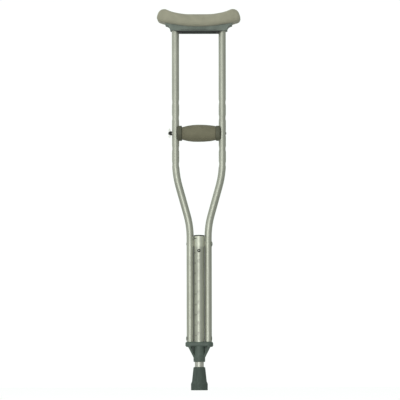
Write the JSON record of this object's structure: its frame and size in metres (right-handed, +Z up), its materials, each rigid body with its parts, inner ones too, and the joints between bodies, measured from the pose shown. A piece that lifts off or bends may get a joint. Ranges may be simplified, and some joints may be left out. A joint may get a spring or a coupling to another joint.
{
  "type": "underarm crutch",
  "caption": "Underarm crutch: padded saddle on bent aluminium uprights, bolted handgrip, centre tube with a push-button telescopic leg, moulded yoke and rubber tip.",
  "frame": {"origin": "on the floor, at the centre of the rubber tip's sole", "axes": "+Z up along the leg, +X to the right of a person who faces the push button, -Y the button side"},
  "size_m": [0.2054, 0.048, 0.937],
  "materials": {
    "pad_foam": "soft matte foam with a moulded skin",
    "moulded_plastic": "grey-green moulded, matt",
    "tube_aluminium": "satin champagne anodised",
    "grip_foam": "olive brown foam, matt",
    "core_plastic": "black moulded",
    "grip_collar": "olive moulded, matt",
    "steel": "bright zinc plate",
    "cap_plastic": "black moulded",
    "rivet_steel": "dull plated",
    "spacer_plastic": "grey moulded",
    "leg_aluminium": "bright satin anodised",
    "spring_steel": "blued spring steel",
    "rubber": "grey-green rubber"
  },
  "bodies": {
    "frame": {"underarm_pad": "pad_foam", "underarm_saddle": "moulded_plastic", "saddle_screws": "steel", "left_upright": "tube_aluminium", "right_upright": "tube_aluminium", "handgrip_foam": "grip_foam", "handgrip_core": "core_plastic", "left_grip_collar": "grip_collar", "right_grip_collar": "grip_collar", "centre_tube": "tube_aluminium", "centre_tube_cap": "cap_plastic", "cross_rivet": "rivet_steel", "tube_spacers": "spacer_plastic", "yoke": "moulded_plastic", "yoke_rivets": "rivet_steel"},
    "leg": {"leg_tube": "leg_aluminium", "button_spring": "spring_steel", "rubber_tip": "rubber", "tip_washer": "steel"},
    "button": {"push_button": "steel"},
    "washer": {"grip_washer": "steel"},
    "nut": {"wing_nut": "steel"},
    "bolt": {"grip_bolt": "steel"}
  },
  "joints": [
    {"name": "leg_extension", "type": "slide", "parent": "frame", "child": "leg", "axis": [0, 0, -1], "range_m": [0, 0.2032], "deforming": ["push_button", "button_spring"]},
    {"name": "button_press", "type": "slide", "parent": "leg", "child": "button", "axis": [0, 1, 0], "range_m": [0, 0.0045], "stiffness_N_per_m": 150, "springref_m": -0.002, "deforming": ["button_spring"]},
    {"name": "washer_slide", "type": "slide", "parent": "frame", "child": "washer", "axis": [-1, 0, 0], "range_m": [0, 0.004]},
    {"name": "wing_nut_turn", "type": "hinge", "parent": "washer", "child": "nut", "pos_m": [-0.0666, 0, 0.6335], "axis": [-1, 0, 0], "range_deg": [0, 1800]},
    {"name": "bolt_withdrawal", "type": "slide", "parent": "frame", "child": "bolt", "axis": [1, 0, 0], "range_m": [0, 0.142]}
  ],
  "couplings": [
    {"joint": "washer_slide", "follows": "wing_nut_turn", "m_per_rad": 0.00012732}
  ]
}
